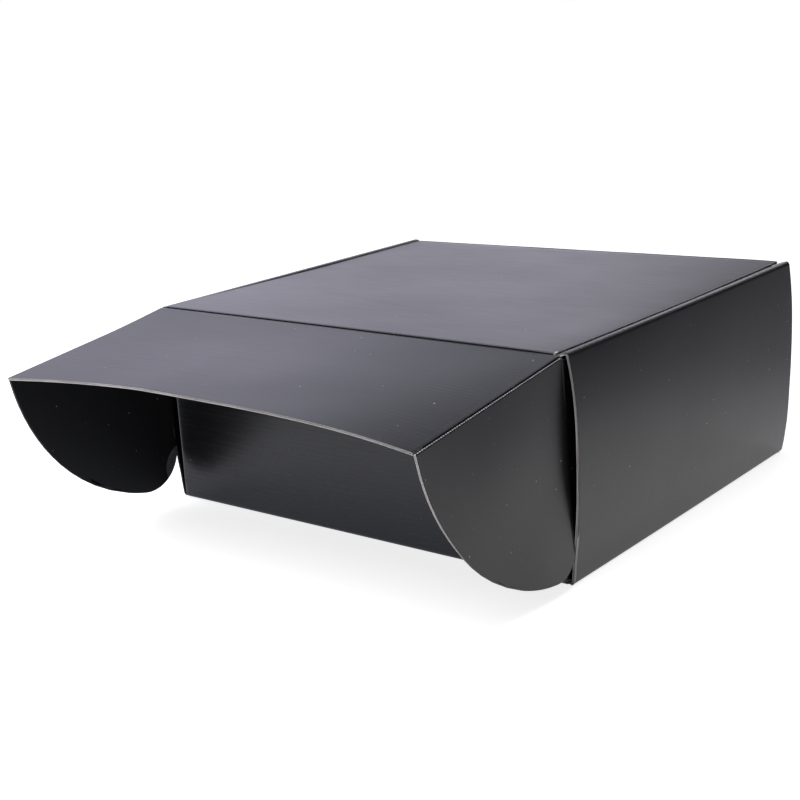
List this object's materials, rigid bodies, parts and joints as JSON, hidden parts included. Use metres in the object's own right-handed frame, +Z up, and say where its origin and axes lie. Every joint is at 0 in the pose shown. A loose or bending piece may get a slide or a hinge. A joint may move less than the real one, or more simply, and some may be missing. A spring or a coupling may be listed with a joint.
{
  "type": "corrugated mailer box",
  "caption": "Shallow folded box with rolled double side walls, a hinged lid and a tuck-in front flap whose rounded ears slide into the side walls; shown with the front flap raised.",
  "frame": {"origin": "centre of the base panel's underside", "axes": "+Z up, -Y towards the front where the lid's flap opens, +X to the right seen from the front"},
  "size_m": [0.309, 0.3765, 0.126],
  "materials": {
    "printed_board": "satin black print on both faces, raw brown cut edges"
  },
  "bodies": {
    "tray": {"tray": "printed_board"},
    "lid": {"lid": "printed_board"},
    "front_flap": {"front_flap": "printed_board"},
    "ear_left": {"ear_left": "printed_board"},
    "ear_right": {"ear_right": "printed_board"}
  },
  "joints": [
    {"name": "lid_hinge", "type": "hinge", "parent": "tray", "child": "lid", "pos_m": [0, 0.12625, 0.12325], "axis": [-1, 0, 0], "range_deg": [0, 180]},
    {"name": "front_flap_hinge", "type": "hinge", "parent": "lid", "child": "front_flap", "pos_m": [0, -0.1294, 0.12325], "axis": [1, 0, 0], "range_deg": [-98, 82]},
    {"name": "ear_left_hinge", "type": "hinge", "parent": "front_flap", "child": "ear_left", "pos_m": [-0.14765, -0.1294, 0.12325], "axis": [0, 0.9903, 0.1392], "range_deg": [0, 90]},
    {"name": "ear_right_hinge", "type": "hinge", "parent": "front_flap", "child": "ear_right", "pos_m": [0.14765, -0.1294, 0.12325], "axis": [0, -0.9903, -0.1392], "range_deg": [0, 90]}
  ]
}
